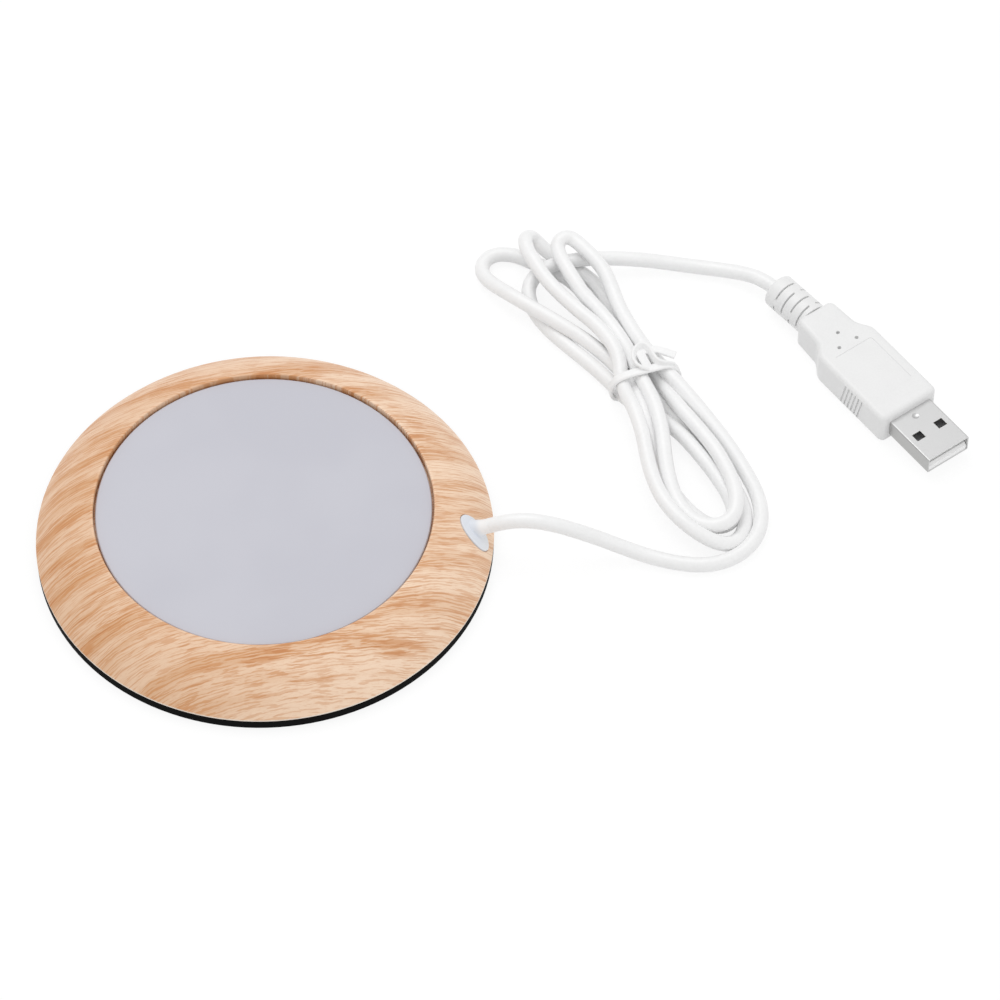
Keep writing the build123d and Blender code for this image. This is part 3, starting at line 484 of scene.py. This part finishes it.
def strap_tree(material):
    """A flat strap with rounded edges along a curve's lines, without twist."""
    tree = Tree("strap", {"Width": 0.002, "Thickness": 0.0007, "Step": STRAP_STEP})
    line = tree.add("GeometryNodeResampleCurve", {"mode": "LENGTH"},
                    {"Curve": tree.given("Geometry"), "Length": tree.given("Step")})
    section = tree.add("GeometryNodeCurvePrimitiveQuadrilateral", {"mode": "RECTANGLE"},
                       {"Width": tree.given("Width"), "Height": tree.given("Thickness")})
    corner = tree.add("ShaderNodeMath", {"operation": "MULTIPLY"},
                      {0: tree.given("Thickness"), 1: STRAP_CORNER})
    rounded = tree.add("GeometryNodeFilletCurve", {"mode": "POLY"}, {
        "Curve": section, "Count": STRAP_CORNER_STEPS, "Radius": corner, "Limit Radius": True})
    swept = tree.add("GeometryNodeCurveToMesh", inputs={
        "Curve": line, "Profile Curve": rounded, "Fill Caps": True})
    return tree.end(swept, material)


# ---------------------------------------------------------------- finishes
def grain_finish(settings):
    """Printed wood film: bowed grain in short raised dashes, crowded into bands, satin coated."""
    cream, streak_ink = opaque(settings.cream), opaque(settings.streak)
    finish = Finish("printed_wood", cream, WOOD_ROUGHNESS)
    x, y, z = finish.place()
    across = y - (x * settings.grain_rise + x * x * x * GRAIN_BOW)
    for pace_x, pace_y, layer, width in GRAIN_SWAYS:
        sway = finish.noise(finish.vector(x * pace_x, y * pace_y, layer), detail=1.0)
        across = across + (sway - 0.5) * width

    def noise(name):
        """A noise drawn out along the grain."""
        along, over, layer, detail, rough, _ = GRAIN_NOISES[name]
        spot = finish.vector(x * along, across * over, layer)
        return finish.noise(spot, detail=detail, rough=rough)

    def mark(name, height):
        """Where the height of a noise is enough for its mark."""
        return height.smooth(*GRAIN_NOISES[name][-1])

    patches = noise("patches")
    band = mark("bands", noise("bands"))
    crowd = (band * CROWD_OF_BANDS + mark("patches", patches) * CROWD_OF_PATCHES).clip()
    streak = mark("streaks", noise("streaks") + crowd * STREAKS_WITH_CROWD)
    dash = mark("dashes", noise("dashes") + crowd * DASHES_WITH_CROWD)
    pore = mark("pores", noise("pores"))

    def inked(share, ink):
        """A mark's ink: least where it stands alone, most where the grain crowds."""
        alone, added = ink
        return (share * (alone + crowd * added)).clip()

    # painted shade: the ground takes more band colour towards the left, falling off to the right
    shade = PAINTED_SHADE_AT_LEFT - x.smooth(*PAINTED_SHADE_SPAN) * PAINTED_SHADE_FALL
    bands_and_painted_shade = band * GROUND_OF_BANDS + patches * GROUND_OF_PATCHES + shade
    body = finish.mix(bands_and_painted_shade, cream, opaque(settings.band))
    body = finish.mix(pore * PORE_SHARE, body, streak_ink)
    body = finish.mix(inked(streak, STREAK_INK), body, streak_ink)
    body = finish.mix(inked(dash, DASH_INK), body, streak_ink)
    body = finish.mix(inked(streak * dash, DEEP_INK) * DEEP_SHARE, body, opaque(settings.deep))
    # painted light: the print lighter towards the grommet on the right
    body = finish.mix(x.smooth(*PAINTED_LIGHT_SPAN) * PAINTED_LIGHT_SHARE, body, cream)
    # the bare lower edge: its plastic's light colour, with a painted highlight along the lip
    edge = 1.0 - z.smooth(settings.edge_top - EDGE_BLUR, settings.edge_top + EDGE_BLUR)
    body = finish.mix(edge * EDGE_AND_HIGHLIGHT_SHARE, body, opaque(settings.edge))
    relief = (streak * 0.5 + dash * 0.5).clip()
    finish.set("Base Color", body)
    finish.set("Roughness", WOOD_ROUGHNESS + relief * WOOD_ROUGHNESS_SWING)
    finish.set("Coat Weight", WOOD_COAT)
    finish.set("Coat Roughness", WOOD_COAT_ROUGHNESS)
    finish.bump(relief, strength=0.4, distance=WOOD_RELIEF)
    return finish


def plate_finish(colour):
    """Satin paint on the heating plate, with the faint orange peel of a sprayed coat."""
    paint = opaque(colour)
    finish = Finish("plate_paint", paint, 0.38)
    spot = finish.vector(*finish.place())
    peel = finish.noise(spot, scale=1.6, detail=2.0)
    cloud = finish.noise(spot, scale=0.035, detail=2.0)
    clouding = cloud.smooth(*EVEN) * PLATE_CLOUDING
    finish.set("Base Color", finish.mix(clouding, paint, tint("C0C0CA")))
    finish.set("Roughness", PLATE_LEAST_ROUGHNESS + cloud * PLATE_ROUGHNESS_SWING)
    finish.bump(peel, strength=0.12, distance=0.02)
    return finish


def moulded_finish(name, colour, roughness, grain_scale=3.0, relief=0.02, fleck=0.04):
    """A moulded plastic or rubber with a fine eroded grain.

    relief is the grain's depth in millimetres; the darkest flecks lose twice fleck of their light.
    """
    finish = Finish(name, colour, roughness)
    spot = finish.vector(*finish.place())
    grain = finish.noise(spot, scale=grain_scale, detail=3.0, rough=0.6)
    cloud = finish.noise(spot, scale=0.12, detail=2.0)
    flecks = (grain * FLECK_OF_GRAIN + cloud * FLECK_OF_CLOUD).smooth(*FLECKED)
    finish.set("Base Color", finish.mix(flecks, colour, dimmed(colour, 1.0 - fleck * 2.0)))
    finish.set("Roughness", roughness - ROUGHNESS_SWING / 2 + grain * ROUGHNESS_SWING)
    finish.bump(grain, strength=0.3, distance=relief)
    return finish


def metal_finish(name, colour, roughness, stretch=(1.0, 1.0, 1.0), relief=0.006):
    """A plated or rolled metal, speckled by a noise.

    stretch is the noise's pace along x, y and z, and a slow one leaves brushing along its axis;
    relief is the noise's depth in millimetres.
    """
    finish = Finish(name, colour, roughness, metallic=1.0)
    spot = finish.vector(*(c * pace for c, pace in zip(finish.place(), stretch)))
    brushing = finish.noise(spot, scale=2.0, detail=3.0, rough=0.6)
    dim = dimmed(colour, BRUSHED_DIMMING)
    finish.set("Base Color", finish.mix(brushing.smooth(*BRUSHED), colour, dim))
    finish.set("Roughness", roughness - BRUSHED_SMOOTHING + brushing * ROUGHNESS_SWING)
    finish.bump(brushing, strength=0.2, distance=relief)
    return finish


def felt_finish():
    """Needled felt under the plate."""
    finish = Finish("needled_felt", tint("DAD5C9"), 0.95)
    fibre = finish.noise(finish.vector(*finish.place()), scale=1.4, detail=6.0, rough=0.75)
    finish.set("Base Color", finish.mix(fibre.smooth(*EVEN), tint("E4DFD4"), tint("BDB6A8")))
    finish.bump(fibre, strength=0.8, distance=0.25)
    return finish


# ---------------------------------------------------------------- settings
def colour_setting(title, code, text):
    """A colour property that starts from a hex colour."""
    return FloatVectorProperty(name=title, description=text, subtype="COLOR", size=3,
                               min=0.0, max=1.0, default=tint(code)[:3])


def length_setting(title, metres, text):
    """A length property."""
    return FloatProperty(name=title, description=text, default=metres, unit="LENGTH")


class StageSettings(bpy.types.PropertyGroup):
    """Camera and light."""
    distance: length_setting("Camera distance", 1.2, "From the camera to the spot it looks at")
    elevation: FloatProperty(name="Camera elevation", default=radians(52.12), subtype="ANGLE",
                             description="Camera's height angle above the table")
    azimuth: FloatProperty(name="Camera azimuth", default=radians(4.0), subtype="ANGLE",
                           description="Camera's turn to the right of the front")
    lens: FloatProperty(name="Lens", default=186.8,
                        description="Focal length on a 36 mm sensor, in millimetres")
    sky: FloatProperty(name="Sky", default=0.72,
                       description="Strength of the even light from all round")
    key: FloatProperty(name="Key lamp", default=2.6, unit="POWER",
                       description="Power of the large soft lamp overhead")
    fill: FloatProperty(name="Fill lamp", default=1.3, unit="POWER",
                        description="Power of the soft lamp in front")


class RingSettings(bpy.types.PropertyGroup):
    """Colours and grain of the printed ring."""
    cream: colour_setting("Wood", "FDDFC3", "Ground colour of the wood print")
    band: colour_setting("Bands", "E0AD80", "Colour of the grain's broad bands")
    streak: colour_setting("Streaks", "D6935A", "Colour of the grain's dashes")
    deep: colour_setting("Deep streaks", "CA8450", "Colour where dashes crowd")
    # the bare edge's colour holds a painted highlight along the lip as well
    edge: colour_setting("Edge", "FBF1E4", "Colour of the ring's bare lower edge")
    edge_top: FloatProperty(name="Edge top", default=3.25,
                            description="Height of the bare edge's top, in millimetres")
    grain_rise: FloatProperty(name="Grain rise", default=0.24,
                              description="Slope of the grain at the middle")


class PlateSettings(bpy.types.PropertyGroup):
    """Heating plate."""
    paint: colour_setting("Plate paint", "C8C8D1", "Colour of the plate's satin paint")


class CordSettings(bpy.types.PropertyGroup):
    """Cord, tie and plug."""
    thickness: length_setting("Cord thickness", 0.0035, "Outside of the cord's jacket")
    tie_width: length_setting("Tie width", 0.0021, "Width of the tie's flat strap")
    tie_thickness: length_setting("Tie thickness", 0.0008, "Thickness of the tie's flat strap")
    white: colour_setting("White", "FCFCFC", "Colour of the cord, the tie and the grommet's nose")
    plug_white: colour_setting("Plug white", "F3F3F3", "Colour of the plug's moulding")
    sides: IntProperty(name="Cord smoothness", default=8, min=2,
                       description="Steps in a quarter of the cord's round")


class WarmerSettings(bpy.types.PropertyGroup):
    """All of the warmer's settings."""
    stage: PointerProperty(type=StageSettings)
    ring: PointerProperty(type=RingSettings)
    plate: PointerProperty(type=PlateSettings)
    cord: PointerProperty(type=CordSettings)


# ---------------------------------------------------------------- operators
class WARMER_OT_stage(bpy.types.Operator):
    """Makes the table, the light and the camera"""
    bl_idname = "warmer.stage"
    bl_label = "Stage"

    def execute(self, context):
        stage = context.scene.warmer.stage
        context.scene.view_settings.view_transform = "Standard"
        toward = Vector((sin(stage.azimuth), -cos(stage.azimuth), 0.0)) * cos(stage.elevation)
        toward.z = sin(stage.elevation)
        lens = bpy.data.cameras.new("camera")
        lens.lens = stage.lens
        lens.sensor_width = SENSOR_WIDTH
        lens.clip_start, lens.clip_end = CAMERA_CLIP
        camera = bpy.data.objects.new("camera", lens)
        camera.location = CAMERA_AIM + toward * stage.distance
        camera.rotation_euler = (-toward).to_track_quat("-Z", "Y").to_euler()
        context.scene.collection.objects.link(camera)
        context.scene.camera = camera

        bpy.ops.mesh.primitive_plane_add(size=TABLE_SIZE, location=(0.0, 0.0, 0.0))
        table = context.active_object
        table.name = "table"
        table.data.materials.append(self.table_finish())

        world = bpy.data.worlds.new("studio")
        world.use_nodes = True
        back = world.node_tree.nodes["Background"]
        back.inputs["Color"].default_value = (1.0, 1.0, 1.0, 1.0)
        back.inputs["Strength"].default_value = stage.sky
        context.scene.world = world

        self.lamp(context, "overhead", stage.key)
        self.lamp(context, "front_fill", stage.fill)
        return {"FINISHED"}

    def lamp(self, context, name, power):
        """A square soft lamp aimed at the middle of the part."""
        place, side = LAMPS[name]
        light = bpy.data.lights.new(name, "AREA")
        light.energy = power
        light.size = side
        lamp = bpy.data.objects.new(name, light)
        lamp.location = place
        lamp.rotation_euler = (Vector(place) - LAMP_AIM).to_track_quat("Z", "Y").to_euler()
        context.scene.collection.objects.link(lamp)

    def table_finish(self):
        """A white table: white to the camera and in reflections, with a soft shadow left in it."""
        finish = Finish("table_white", (0.8, 0.8, 0.8, 1.0), 0.9)
        rays = finish.node("ShaderNodeLightPath").socket.node.outputs
        seen = Value(finish, rays["Is Camera Ray"])
        for ray in ("Is Glossy Ray", "Is Transmission Ray"):
            seen = seen.math("MAXIMUM", Value(finish, rays[ray]))
        glow = finish.node("ShaderNodeEmission", inputs={
            "Color": (1.0, 1.0, 1.0, 1.0), "Strength": TABLE_GLOW})
        plain = Value(finish, finish.shader.outputs[0])
        both = finish.node("ShaderNodeMixShader", inputs=[seen * TABLE_GLOW_SHARE, plain, glow])
        finish.tree.links.new(both.socket, finish.output.inputs["Surface"])
        return finish.material


class WARMER_OT_cord(bpy.types.Operator):
    """Lays the cord from the grommet through the tied hank to the plug"""
    bl_idname = "warmer.cord"
    bl_label = "Cord"

    def execute(self, context):
        cord = context.scene.warmer.cord
        jacket = moulded_finish("cord_jacket", opaque(cord.white), 0.36, grain_scale=1.2,
                                relief=0.01, fleck=0.02)
        jacket.set("Coat Weight", JACKET_COAT)
        jacket.set("Coat Roughness", JACKET_COAT_ROUGHNESS)
        curve = bpy.data.curves.new("cord", "CURVE")
        curve.dimensions = "3D"
        nurbs_line(curve, ROUTE)
        curve.resolution_u = CORD_STEPS
        curve.bevel_depth = cord.thickness / 2
        curve.bevel_resolution = cord.sides
        curve.use_fill_caps = True
        curve.materials.append(jacket.material)
        piece = add_piece("cord", curve)
        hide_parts("cord_lead", "cord_hank", "cord_tail")
        dress("inner_cord", jacket)
        return {"FINISHED"}


class WARMER_OT_tie(bpy.types.Operator):
    """Ties the hank with a flat plastic strap, looped and knotted on top"""
    bl_idname = "warmer.tie"
    bl_label = "Tie"

    def execute(self, context):
        cord = context.scene.warmer.cord
        coat = moulded_finish("tie_coating", opaque(cord.white), 0.42, grain_scale=2.0,
                              relief=0.01, fleck=0.02)
        turn = [TIE_SPOT + TIE_ACROSS * a + Vector((0.0, 0.0, z)) for a, z in TIE_TURN]
        strap = bpy.data.curves.new("tie_path", "CURVE")
        strap.dimensions = "3D"
        nurbs_line(strap, turn, closed=True)
        nurbs_line(strap, TIE_LOOP, tilt=TIE_LOOP_TILT)
        nurbs_line(strap, TIE_KNOT)
        nurbs_line(strap, TIE_END)
        strap.resolution_u = STRAP_LINE_STEPS
        mesh = grown("hank_tie", strap, strap_tree(coat.material), {
            "Width": cord.tie_width, "Thickness": cord.tie_thickness, "Step": STRAP_STEP})
        mesh.materials.clear()
        mesh.materials.append(coat.material)
        for face in mesh.polygons:
            face.use_smooth = True
        piece = add_piece("hank_tie", mesh)
        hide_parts("twist_tie")
        return {"FINISHED"}


class WARMER_OT_ring(bpy.types.Operator):
    """Finishes the domed ring cover with its wood print"""
    bl_idname = "warmer.ring"
    bl_label = "Ring cover"

    def execute(self, context):
        dress("ring_cover", grain_finish(context.scene.warmer.ring))
        return {"FINISHED"}


class WARMER_OT_plate(bpy.types.Operator):
    """Finishes the heating plate and the heater's layers under it"""
    bl_idname = "warmer.plate"
    bl_label = "Heating plate and heater"

    def execute(self, context):
        dress("heating_plate", plate_finish(context.scene.warmer.plate.paint))
        dress("plate_seal", moulded_finish("silicone_seal", tint("D9D8D4"), 0.6))
        dress("thermal_sheet", moulded_finish("thermal_sheet", tint("E6E4D8"), 0.7))
        dress("heater_track", metal_finish("resistance_foil", tint("B9B2A4"), 0.35))
        dress("heater_film", moulded_finish("amber_film", tint("B8701F"), 0.25, relief=0.005))
        dress("solder_joints", metal_finish("solder", tint("C4C6CA"), 0.3, relief=0.05))
        dress("insulation_felt", felt_finish())
        return {"FINISHED"}


class WARMER_OT_inside(bpy.types.Operator):
    """Finishes the pressure plate, the thermostat, the wires and the cord clamp"""
    bl_idname = "warmer.inside"
    bl_label = "Inside"

    def execute(self, context):
        zinc = metal_finish("zinc_plate", tint("C9CBCE"), 0.36, stretch=(0.15, 2.5, 1.0))
        for node in ("pressure_plate", "thermostat_clip"):
            dress(node, zinc)
        screws = metal_finish("screw_zinc", tint("B9BABC"), 0.3)
        for node in ("plate_screws", "clamp_screws", "case_screws"):
            dress(node, screws)
        dress("thermostat", moulded_finish("thermostat_case", tint("3B3B3F"), 0.5))
        red = moulded_finish("red_wire", tint("B5261E"), 0.4)
        for node in ("live_wire", "link_wire"):
            dress(node, red)
        dress("return_wire", moulded_finish("black_wire", tint("1E1E20"), 0.4))
        dress("cord_clamp", moulded_finish("clamp_moulding", tint("C9C8C4"), 0.5))
        return {"FINISHED"}


class WARMER_OT_base(bpy.types.Operator):
    """Finishes the black tray and its rubber pad"""
    bl_idname = "warmer.base"
    bl_label = "Base"

    def execute(self, context):
        tray = moulded_finish("black_moulding", tint("060606"), 0.8, grain_scale=4.0)
        pad = moulded_finish("black_rubber", tint("0A0A0A"), 0.9, grain_scale=2.0, relief=0.06)
        for node, finish in (("base_tray", tray), ("base_pad", pad)):
            finish.set("Specular IOR Level", BLACK_SPECULAR)
            dress(node, finish)
        return {"FINISHED"}


class WARMER_OT_grommet(bpy.types.Operator):
    """Finishes the flared cord grommet: its disc bluish, its nose in the cord's white"""
    bl_idname = "warmer.grommet"
    bl_label = "Cord grommet"

    def execute(self, context):
        disc, nose = tint("E6EAF1"), opaque(context.scene.warmer.cord.white)
        finish = moulded_finish("grommet_moulding", disc, 0.38, relief=0.01, fleck=0.02)
        x, _, z = finish.place()
        along = (x - NOSE_ROOT[0]) * NOSE_WAY[0] + (z - NOSE_ROOT[1]) * NOSE_WAY[1]
        finish.set("Base Color", finish.mix(along.smooth(*NOSE_FADE), disc, nose))
        dress("cord_grommet", finish)
        return {"FINISHED"}


class WARMER_OT_plug(bpy.types.Operator):
    """Finishes the plug: moulded body and boot, plated shell, tongue and contacts"""
    bl_idname = "warmer.plug"
    bl_label = "Plug"

    def execute(self, context):
        white = opaque(context.scene.warmer.cord.plug_white)
        moulding = moulded_finish("plug_moulding", white, 0.4, grain_scale=2.2, relief=0.015,
                                  fleck=0.02)
        for node in ("plug_body", "plug_boot"):
            dress(node, moulding)
        dress("plug_tongue", self.tongue_finish())
        dress("plug_shell", self.shell_finish())
        dress("plug_contacts", metal_finish("contact_plate", tint("D8B565"), 0.25))
        return {"FINISHED"}

    def forward(self, x, y):
        """Distance from the plug's face towards its mouth."""
        return x * PLUG_WAY.x + y * PLUG_WAY.y - PLUG_WAY.dot(PLUG_FACE)

    def sideways(self, x, y):
        """Distance from the plug's middle line, across it."""
        return y * PLUG_WAY.x - x * PLUG_WAY.y - PLUG_WAY.cross(PLUG_FACE)

    def tongue_finish(self):
        """White tongue, with painted shade behind its front."""
        white = tint("FFFFFF")
        finish = Finish("tongue_moulding", white, 0.45)
        x, y = finish.place()[:2]
        front = self.forward(x, y).smooth(*TONGUE_PAINTED_SHADE_END)
        # painted shade: grey where the shell shades the tongue behind its front
        finish.set("Base Color", finish.mix(front, tint("9A9A9C"), white))
        return finish

    def shell_finish(self):
        """Nickel plating, with painted shade darkening the outer sides, and duller inside the
        mouth.
        """
        nickel = tint("D4D4D4")
        finish = metal_finish("nickel_plate", nickel, 0.38, stretch=(1.6, 1.6, 0.4))
        x, y, z = finish.place()
        out = abs(self.sideways(x, y))
        up = abs(z - PLUG_MID)
        # painted shade: the shell's outer sides darker than its top, for how the light falls on
        # them
        finish.set("Base Color", finish.mix(out.smooth(*SHELL_PAINTED_SHADE_SIDE), nickel, tint("B9B9B8")))
        inside = (1.0 - up.smooth(*SHELL_ROOF)) * (1.0 - out.smooth(*SHELL_WALL))
        mouth = (inside * self.forward(x, y).smooth(*SHELL_MOUTH)).clip()
        finish.set("Metallic", 1.0 - mouth * MOUTH_DULLING)
        return finish


class WARMER_PT_panel(bpy.types.Panel):
    """The warmer's settings and pieces, in the sidebar"""
    bl_idname = "WARMER_PT_panel"
    bl_label = "Cup Warmer"
    bl_space_type = "VIEW_3D"
    bl_region_type = "UI"
    bl_category = "Cup Warmer"

    def draw(self, context):
        settings = context.scene.warmer
        for title in ("stage", "ring", "plate", "cord"):
            group = getattr(settings, title)
            box = self.layout.box()
            box.label(text=title.capitalize())
            for name in group.bl_rna.properties.keys():
                if name not in {"rna_type", "name"}:
                    box.prop(group, name)
        for operator in OPERATORS:
            self.layout.operator(operator.bl_idname)


# in the order they run, with the tie before the cord
OPERATORS = (
    WARMER_OT_stage, WARMER_OT_tie, WARMER_OT_cord, WARMER_OT_ring, WARMER_OT_plate,
    WARMER_OT_inside, WARMER_OT_base, WARMER_OT_grommet, WARMER_OT_plug,
)
CLASSES = (
    StageSettings, RingSettings, PlateSettings, CordSettings, WarmerSettings, *OPERATORS,
    WARMER_PT_panel,
)


def register():
    for cls in CLASSES:
        bpy.utils.register_class(cls)
    bpy.types.Scene.warmer = PointerProperty(type=WarmerSettings)


def unregister():
    del bpy.types.Scene.warmer
    for cls in reversed(CLASSES):
        bpy.utils.unregister_class(cls)


def main():
    """Makes every piece in turn."""
    register()
    for operator in OPERATORS:
        group, name = operator.bl_idname.split(".")
        getattr(getattr(bpy.ops, group), name)()
    bpy.context.view_layer.update()


if __name__ == "__main__":
    main()
